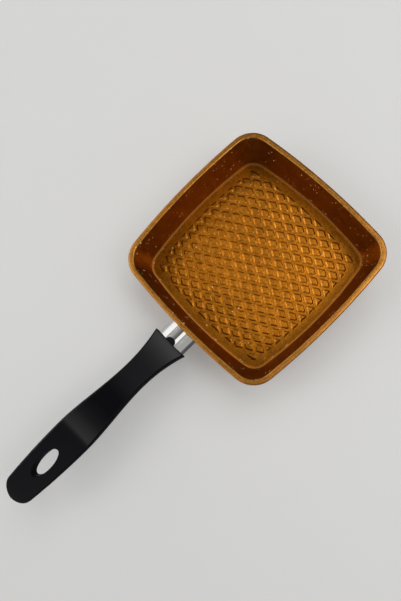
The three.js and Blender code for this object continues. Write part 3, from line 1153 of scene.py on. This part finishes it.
@dataclass
class Ferrule:
    """Polished oval sleeve with a groove along its top."""

    neck: Neck
    width: float = 28 * MM
    height: float = 18.5 * MM
    sheet: float = 0.8 * MM
    shown: float = 21.2 * MM
    insert: float = 3 * MM
    squareness: float = 2.3
    groove_depth: float = 1.25 * MM
    groove_half: float = 4.8 * MM
    steps: int = 288
    steel: Metal = Metal("polished_steel", linear(226, 225, 222), 0.1, scratch_depth=0.0004 * MM)

    def outline(self, margin: float) -> np.ndarray:
        """Oval with its groove.

        Args:
            margin: how far it is grown outwards.

        Returns:
            Its points, across and up.
        """
        half_width, half_height = self.width / 2 + margin, self.height / 2 + margin
        angles = full_turn(self.steps)
        across = half_width * np.cos(angles)
        share = np.clip(1 - np.abs(across / half_width) ** self.squareness, 0, None)
        up = half_height * share ** (1 / self.squareness)
        reach = self.groove_half - margin
        dip = self.groove_depth * np.clip(1 - (across / reach) ** 2, 0, None)
        return np.column_stack((across, np.where(np.sin(angles) >= 0, up - dip, -up)))

    def section(self, margin: float, along: np.ndarray | float) -> np.ndarray:
        """The outline at a distance along the neck."""
        outline = self.outline(margin)
        return self.neck.place(np.column_stack((np.broadcast_to(along, len(outline)), outline)))

    def build(self) -> bpy.types.Object:
        """Makes the sleeve.

        Returns:
            The piece.
        """
        mesh = Mesher()
        end = self.shown + self.insert
        outer, inner = self.outline(0)[:, 1], self.outline(-self.sheet)[:, 1]
        rings = [
            self.section(-self.sheet, self.neck.wall(inner)),
            self.section(0, self.neck.wall(outer)),
            self.section(0, end),
            self.section(-self.sheet, end),
            self.section(-self.sheet, self.neck.wall(inner)),
        ]
        mesh.loft(rings)
        piece = mesh.piece("ferrule_polished", (self.steel.material(),))
        settle(piece, "ferrule", Slot.STEEL)
        return piece


@dataclass
class Handle:
    """Black moulded handle with a waist, a wide grip and a hanging hole."""

    ferrule: Ferrule
    reach: float = 171 * MM
    rise: float = 25.7 * MM
    front_slope: float = math.radians(25)
    end_slope: float = math.radians(8)
    front_pull: float = 48 * MM
    end_pull: float = 61 * MM
    face: Span = (31.5 * MM, 22 * MM)
    waist: Span = (20.9 * MM, 18 * MM)
    grip: Span = (30.9 * MM, 13 * MM)
    end: Span = (23.6 * MM, 8.5 * MM)
    waist_at: float = 40 * MM
    grip_at: float = 108 * MM
    straight_from: float = 76 * MM
    end_round: float = 9 * MM
    end_turn: float = math.radians(88.5)
    face_round: float = 0.5 * MM
    top_edge: float = 1.3 * MM
    under_edge: float = 5 * MM
    edge_share: float = 0.49
    hole_length: float = 28 * MM
    hole_width: float = 11.7 * MM
    hole_chamfer: float = 0.4 * MM
    hole_from_end: float = 37.8 * MM
    key_radius: float = 3.9 * MM
    key_drop: float = 1 * MM
    screw_from_face: float = 11 * MM
    bore_radius: float = 2.75 * MM
    bore_top: float = 4.3 * MM
    well_radius: float = 5.3 * MM
    seat: float = -3.7 * MM
    pocket: tuple[float, float, float] = (22.2 * MM, 14.4 * MM, 3.4 * MM)
    below: float = -20 * MM
    shine_across: float = 0.2
    shine_up: float = 0.7
    line_steps: int = 800
    steps: int = 120
    edge_steps: int = 8
    face_steps: int = 4
    end_steps: int = 16
    hole_steps: int = 72
    round_steps: int = 48
    polished: MouldedBlack = MouldedBlack("moulded_black_polished", 0.03, 0.5, grain_depth=0.0005 * MM)
    matt: MouldedBlack = MouldedBlack("moulded_black_matt", 0.5, 0.05)
    line: np.ndarray = field(init=False)
    lengths: np.ndarray = field(init=False)

    def __post_init__(self) -> None:
        """Draws the middle line in the neck's frame: points along and up."""
        slope = self.ferrule.neck.slope
        turned = np.array(((math.cos(slope), -math.sin(slope)), (math.sin(slope), math.cos(slope))))
        last = np.array((self.reach, self.rise))
        front = polar(self.front_pull, (self.front_slope,))[0]
        back = polar(self.end_pull, (self.end_slope,))[0]
        knots = np.array((np.zeros(2), front, last - back, last)) @ turned
        share = np.linspace(0, 1, self.line_steps + 1)[:, None]
        rest = 1 - share
        self.line = (
            rest**3 * knots[0]
            + 3 * rest**2 * share * knots[1]
            + 3 * rest * share**2 * knots[2]
            + share**3 * knots[3]
            + (self.ferrule.shown, 0)
        )
        strides = np.linalg.norm(np.diff(self.line, axis=0), axis=1)
        self.lengths = np.concatenate(((0,), np.cumsum(strides)))

    def length(self) -> float:
        """Length along the middle line."""
        return float(self.lengths[-1])

    def size(self, at: float, measure: Measure) -> float:
        """Width or height of a section.

        Args:
            at: its distance from the face.
            measure: which of the two.

        Returns:
            The size.
        """
        face, waist, grip, end = (sizes[measure] for sizes in (self.face, self.waist, self.grip, self.end))
        if at < self.waist_at:
            return waist + (face - waist) * (1 - at / self.waist_at) ** 2
        if at < self.grip_at:
            share = (at - self.waist_at) / (self.grip_at - self.waist_at)
            return waist + (grip - waist) * float(smoothstep(share))
        return grip + (end - grip) * ((at - self.grip_at) / (self.length() - self.grip_at)) ** 2

    def middle(self, at: float) -> tuple[np.ndarray, np.ndarray]:
        """Middle of a section, which stands square to the line from the waist on.

        Args:
            at: its distance from the face.

        Returns:
            The middle, along and up in the neck's frame, and the section's upward direction.
        """
        here = np.array([np.interp(at, self.lengths, self.line[:, k]) for k in (0, 1)])
        around = (at - STRIDE, at + STRIDE)
        near = np.array([np.interp(around, self.lengths, self.line[:, k]) for k in (0, 1)])
        run, climb = near[:, 1] - near[:, 0]
        turn = math.atan2(climb, run) * float(smoothstep(at / self.waist_at))
        return here, np.array((-math.sin(turn), math.cos(turn)))

    def reaches(self, at: float) -> Span:
        """Distances from the middle line to the top face, which is straight over the grip, and the underside.

        Args:
            at: distance from the face.

        Returns:
            How far it is up and down.
        """
        half = self.size(at, Measure.HEIGHT) / 2
        if at <= self.straight_from:
            return half, half
        tops = []
        for near in (self.straight_from - STRIDE, self.straight_from):
            middle, upward = self.middle(near)
            tops.append(middle + upward * self.size(near, Measure.HEIGHT) / 2)
        middle, upward = self.middle(at)
        along = tops[1] - tops[0]
        return float(cross(along, middle - tops[1]) / cross(upward, along)), half

    def place(self, at: float, points: np.ndarray) -> np.ndarray:
        """Sets points of a section in the frame of the whole.

        Args:
            at: the section's distance from the face.
            points: the points, across and up.

        Returns:
            The points in space.
        """
        here, upward = self.middle(at)
        across, up = np.asarray(points, float).T
        return self.ferrule.neck.place(np.column_stack((
            here[0] + up * upward[0],
            across,
            here[1] + up * upward[1],
        )))

    def section(self, width: float, above: float, below: float) -> np.ndarray:
        """Box section with rounded edges, anticlockwise as seen from the end.

        Args:
            width: its width.
            above: how far it reaches up.
            below: how far it reaches down.

        Returns:
            Its points, across and up.
        """
        most = self.edge_share * min(width, above + below)
        top, under = min(self.top_edge, most), min(self.under_edge, most)
        high, low = above - top, under - below
        arcs = []
        corners = ((1, low, under), (1, high, top), (-1, high, top), (-1, low, under))
        for quarter, (side, level, radius) in enumerate(corners):
            centre = (side * (width / 2 - radius), level)
            first = math.pi / 2 * (quarter - 1)
            arcs.append(polar(radius, np.linspace(first, first + math.pi / 2, self.edge_steps + 1)) + centre)
        return np.concatenate(arcs)

    def ring(self, at: float, narrowing: float = 1.0, inset: float = 0.0) -> np.ndarray:
        """Section of the skin.

        Args:
            at: its distance from the face.
            narrowing: share of its width that it keeps.
            inset: how far it is drawn in.

        Returns:
            Its points in space.
        """
        width = self.size(at, Measure.WIDTH) * narrowing - 2 * inset
        above, below = self.reaches(at)
        return self.place(at, self.section(width, above - inset, below * math.sqrt(narrowing) - inset))

    def blank(self) -> Mesher:
        """Draws the handle without its holes.

        Returns:
            The closed body.
        """
        straight = self.length() - self.end_round
        rings = []
        for angle in np.linspace(0, math.pi / 2, self.face_steps, endpoint=False):
            drawn_in = self.face_round * (1 - math.sin(angle))
            rings.append(self.ring(self.face_round * (1 - math.cos(angle)), 1.0, drawn_in))
        for at in np.linspace(self.face_round, straight, self.steps, endpoint=False):
            rings.append(self.ring(float(at)))
        for angle in np.linspace(0, self.end_turn, self.end_steps):
            rings.append(self.ring(straight + self.end_round * math.sin(angle), math.cos(angle)))
        return Mesher().body(rings)

    def hole(self) -> Mesher:
        """Draws the hanging hole, with a small chamfer at both faces.

        Returns:
            The closed body that cuts it.
        """
        middle = self.length() - self.hole_from_end
        chamfer = self.hole_chamfer
        rings = []
        for side, lift in ((-1, chamfer), (-1, -chamfer), (1, -chamfer), (1, chamfer)):
            ring = []
            flare = chamfer + lift
            for angle in full_turn(self.hole_steps):
                at = middle + (self.hole_length / 2 + flare) * math.cos(angle)
                across = (self.hole_width / 2 + flare) * math.sin(angle)
                above, below = self.reaches(at)
                reach = above if side > 0 else below
                ring.append(self.place(at, [(across, side * (reach + lift))])[0])
            rings.append(np.array(ring))
        return Mesher().body(rings)

    def key(self) -> Mesher:
        """Draws the round key on the face that sits in the ferrule's groove.

        Returns:
            The closed body.
        """
        top = self.face[Measure.HEIGHT] / 2 - self.key_drop
        circle = polar(self.key_radius, full_turn(self.round_steps))
        small = circle * ((self.key_radius - self.face_round) / self.key_radius)
        levels = ((circle, 0), (circle, top - self.face_round), (small, top))
        start = (self.ferrule.shown, 0)
        return Mesher().body([self.ferrule.neck.place(lifted(ring + start, up)) for ring, up in levels])

    def drawn(self, outline: np.ndarray, low: float, high: float) -> Mesher:
        """Draws an outline out in a frame at the middle of the face that is turned up with the front.

        Args:
            outline: points along and across.
            low: height at which it starts.
            high: height at which it ends.

        Returns:
            The closed body.
        """
        turn = self.front_slope - self.ferrule.neck.slope
        start = (self.ferrule.shown, 0)
        rings = [tilted(lifted(outline, up), turn, start) for up in (low, high)]
        return Mesher().body([self.ferrule.neck.place(ring) for ring in rings])

    def spaces(self) -> Iterable[Mesher]:
        """Draws the hanging hole, the ferrule's recess, the tang's pocket, and the screw's bore and well.

        Returns:
            The closed bodies that cut them, one after the other.
        """
        yield self.hole()
        ferrule, gap = self.ferrule, self.ferrule.neck.gap
        end = ferrule.shown + ferrule.insert + gap
        yield Mesher().body([ferrule.section(gap, along) for along in (0, end)])
        length, width, thickness = self.pocket
        box = np.array(((0, -1), (1, -1), (1, 1), (0, 1))) * (length, width / 2)
        yield self.drawn(box, -thickness / 2, thickness / 2)
        circle = polar(1.0, full_turn(self.round_steps))
        middle = (self.screw_from_face, 0)
        yield self.drawn(circle * self.bore_radius + middle, self.below, self.bore_top)
        yield self.drawn(circle * self.well_radius + middle, self.below, self.seat)

    def build(self) -> bpy.types.Object:
        """Makes the handle, polished on top and matt elsewhere.

        Returns:
            The piece.
        """
        finishes = (self.polished.material(), self.matt.material())
        piece = self.blank().piece("handle_moulded", finishes)
        carve(piece, self.key().piece("key", finishes), Carving.JOIN)
        for space in self.spaces():
            carve(piece, space.piece("space", finishes), Carving.CUT)
        for polygon in piece.data.polygons:
            level = abs(polygon.normal.y) < self.shine_across and polygon.normal.z > self.shine_up
            polygon.material_index = Side.TOP if level else Side.FLANK
        weld(piece)
        settle(piece, "handle", Slot.BLACK)
        return piece


@dataclass
class Fixings:
    """Screw, washers and bracket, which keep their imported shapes."""

    zinc: Metal = Metal("zinc_plate", linear(170, 174, 178), 0.32)
    zinc_nodes: tuple[str, ...] = ("handle_screw", "lock_washer", "flat_washer")
    aluminium: Metal = Metal("bare_aluminium", linear(196, 197, 198), 0.38)
    aluminium_nodes: tuple[str, ...] = ("handle_bracket",)

    def build(self) -> list[bpy.types.Object]:
        """Gives each node its metal.

        Returns:
            The nodes' objects.
        """
        dressed = []
        for metal, nodes in ((self.zinc, self.zinc_nodes), (self.aluminium, self.aluminium_nodes)):
            finish = metal.material()
            for node in nodes:
                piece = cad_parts[node]
                piece.data.materials.clear()
                piece.data.materials.append(finish)
                dressed.append(piece)
        return dressed


@dataclass(frozen=True)
class Room:
    """Soft light of a room, by the direction that it comes from.

    The window side, towards +X and -Y, is bright. The far side is dimmer, most of all towards -X and -Y above
    the horizon, with a pale wall towards -X and +Y. A strip of ceiling lies overhead, with dark parts on two
    sides of it. A span says where a change starts and ends, along an axis that runs from minus one to one.
    """

    colour: Colour = (1.0, 1.0, 0.99)
    window_aim: Span = (0.6, 0.8)
    window_edge: Span = (0.0, 0.4)
    window_rise: Span = (0.1, 0.62)
    window_low: float = 0.5
    window_sky: float = 1.25
    far_rise: Span = (-0.15, 0.25)
    far_low: float = 0.1
    far_sky: float = 0.45
    dim_rise: Span = (0.22, 0.42)
    dim_depth: float = 0.95
    shade_edge: Span = (0.5, 1.0)
    pale_x: Span = (0.3, 0.55)
    pale_y: Span = (0.15, 0.45)
    pale_gain: float = 0.8
    dark_x: Span = (0.15, 0.4)
    dark_y: Span = (0.2, 0.42)
    behind_x: Span = (0.2, 0.45)
    behind_y: Span = (0.0, 0.2)
    behind_depth: float = 0.7
    strip_start: Span = (-0.5, -0.38)
    strip_end: Span = (0.05, 0.2)
    strip_half: Span = (0.2, 0.36)
    strip_rise: Span = (0.4, 0.6)
    strip_level: float = 1.35
    strip_gain: float = 2.2
    strip: tuple[Span, ...] = (
        (-0.46, 1.0),
        (-0.36, 0.62),
        (-0.27, 0.36),
        (-0.2, 0.22),
        (-0.06, 0.19),
        (0.05, 0.12),
        (0.14, 0.03),
        (0.245, 0.03),
        (0.263, 0.07),
        (0.284, 0.17),
        (0.296, 0.35),
        (0.318, 0.62),
        (0.321, 0.1),
        (0.46, 0.16),
    )

    def sides(self, x: Value, y: Value, z: Value, dim: Value) -> Value:
        """Light of the window side and the far side.

        Args:
            x: the direction's part along X.
            y: its part along Y.
            z: its part along Z.
            dim: how much a dim part counts.

        Returns:
            The light.
        """
        ahead, aside = self.window_aim
        window = (x * ahead - y * aside).step(*self.window_edge)
        near = z.step(*self.window_rise) * (self.window_sky - self.window_low) + self.window_low
        shade = (-x - y).step(*self.shade_edge) * dim
        pale = (-x).step(*self.pale_x) * y.step(*self.pale_y) * self.pale_gain + 1
        far = z.step(*self.far_rise) * (self.far_sky - self.far_low) + self.far_low
        far = far * (1 - shade) * pale
        return window * (near - far) + far

    def overhead(self, x: Value, y: Value, z: Value) -> tuple[Value, Value]:
        """The strip of ceiling, whose light changes across it and rises along it.

        Args:
            x: the direction's part along X.
            y: its part along Y.
            z: its part along Z.

        Returns:
            Where the strip is, from zero to one, and its light.
        """
        along = y.step(*self.strip_start) * (1 - y.step(*self.strip_end))
        where = along * (1 - (x * x).step(*self.strip_half)) * z.step(*self.strip_rise)
        stops = [(0.5 + place, level) for place, level in self.strip]
        ramp = x.graph.node("ShaderNodeValToRGB", {"stops": stops}, {"Fac": x + 0.5})
        return where, x.graph.part(ramp, "X") * (y * self.strip_gain + self.strip_level)

    def build(self) -> None:
        """Sets the light of the world."""
        world = bpy.data.worlds.new("soft_room")
        graph = Graph(world)
        aim = graph.node("ShaderNodeTexCoord", output="Generated")
        x, y, z = (graph.part(aim, axis) for axis in "XYZ")
        dim = z.step(*self.dim_rise) * self.dim_depth
        side = self.sides(x, y, z, dim)
        where, strip = self.overhead(x, y, z)
        behind = x.step(*self.behind_x) * y.step(*self.behind_y) * self.behind_depth
        dark = ((-x).step(*self.dark_x) * (-y).step(*self.dark_y) + behind) * dim
        light = (side + where * (strip - side)) * (1 - dark)
        background = graph.node("ShaderNodeBackground", inputs={"Color": self.colour, "Strength": light})
        graph.node("ShaderNodeOutputWorld", inputs={"Surface": background})
        bpy.context.scene.world = world


@dataclass(frozen=True)
class Lamp:
    """Flat square light that faces the pan; a mirrored one shows in glossy surfaces."""

    name: str
    place: tuple[float, float, float]
    size: float
    power: float
    mirrored: bool

    def build(self) -> None:
        """Adds the light to the scene."""
        light = bpy.data.lights.new(self.name, "AREA")
        light.shape = "SQUARE"
        light.size = self.size
        light.energy = self.power
        lamp = bpy.data.objects.new(self.name, light)
        lamp.location = self.place
        lamp.rotation_euler = (-Vector(self.place)).to_track_quat("-Z", "Y").to_euler()
        lamp.visible_glossy = self.mirrored
        bpy.context.scene.collection.objects.link(lamp)


@dataclass
class Studio:
    """Pale table, soft light and the camera."""

    table_half: float = 3.0
    room: Room = Room()
    lamps: tuple[Lamp, ...] = (
        Lamp("key", (0.56, -0.62, 0.86), size=0.5, power=1.75, mirrored=True),
        Lamp("fill", (-0.38, 0.5, 0.95), size=0.5, power=3.0, mirrored=True),
        Lamp("shadow_light", (-1.3, -0.5, 1.9), size=1.8, power=34.0, mirrored=False),
    )
    eye: tuple[float, float, float] = (43.57 * MM, 57.16 * MM, 380.2 * MM)
    forward: tuple[float, float, float] = (0.029, -0.1762, -0.9839)
    up: tuple[float, float, float] = (-0.7112, -0.6954, 0.1035)
    focal_pixels: float = 440.0
    image_height: float = 601.0
    sensor: float = 36.0
    clip_start: float = 10 * MM

    def table(self) -> None:
        """Makes the surface that the pan stands on."""
        mesh = Mesher()
        h = self.table_half
        mesh.face(mesh.add(np.array(((-h, -h, 0), (h, -h, 0), (h, h, 0), (-h, h, 0)))))
        table = mesh.piece("table", (PaleTable().material(),))
        table.visible_glossy = False

    def camera(self) -> None:
        """Sets the camera at the photograph's angle."""
        lens = bpy.data.cameras.new("camera")
        lens.sensor_width = self.sensor
        lens.lens = self.sensor * self.focal_pixels / self.image_height
        lens.clip_start = self.clip_start
        camera = bpy.data.objects.new("camera", lens)
        back = -Vector(self.forward).normalized()
        side = Vector(self.up).cross(back).normalized()
        turn = Matrix((side, back.cross(side), back)).transposed()
        camera.matrix_world = Matrix.Translation(self.eye) @ turn.to_4x4()
        bpy.context.scene.collection.objects.link(camera)
        bpy.context.scene.camera = camera

    def build(self) -> None:
        """Sets the whole stage."""
        bpy.context.scene.view_settings.view_transform = "Standard"
        self.table()
        self.room.build()
        for lamp in self.lamps:
            lamp.build()
        self.camera()


def main() -> None:
    """Builds the pan and its stage, and reports each piece."""
    logging.basicConfig(level=logging.INFO, format="%(name)s %(message)s")
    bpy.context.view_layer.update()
    pan = PanBody()
    ferrule = Ferrule(Neck(pan))
    handle = Handle(ferrule)
    for piece in (pan.build(), ferrule.build(), handle.build(), *Fixings().build()):
        LOG.info("%s: %d points", piece.name, len(piece.data.vertices))
    Studio().build()


if __name__ == "__main__":
    main()
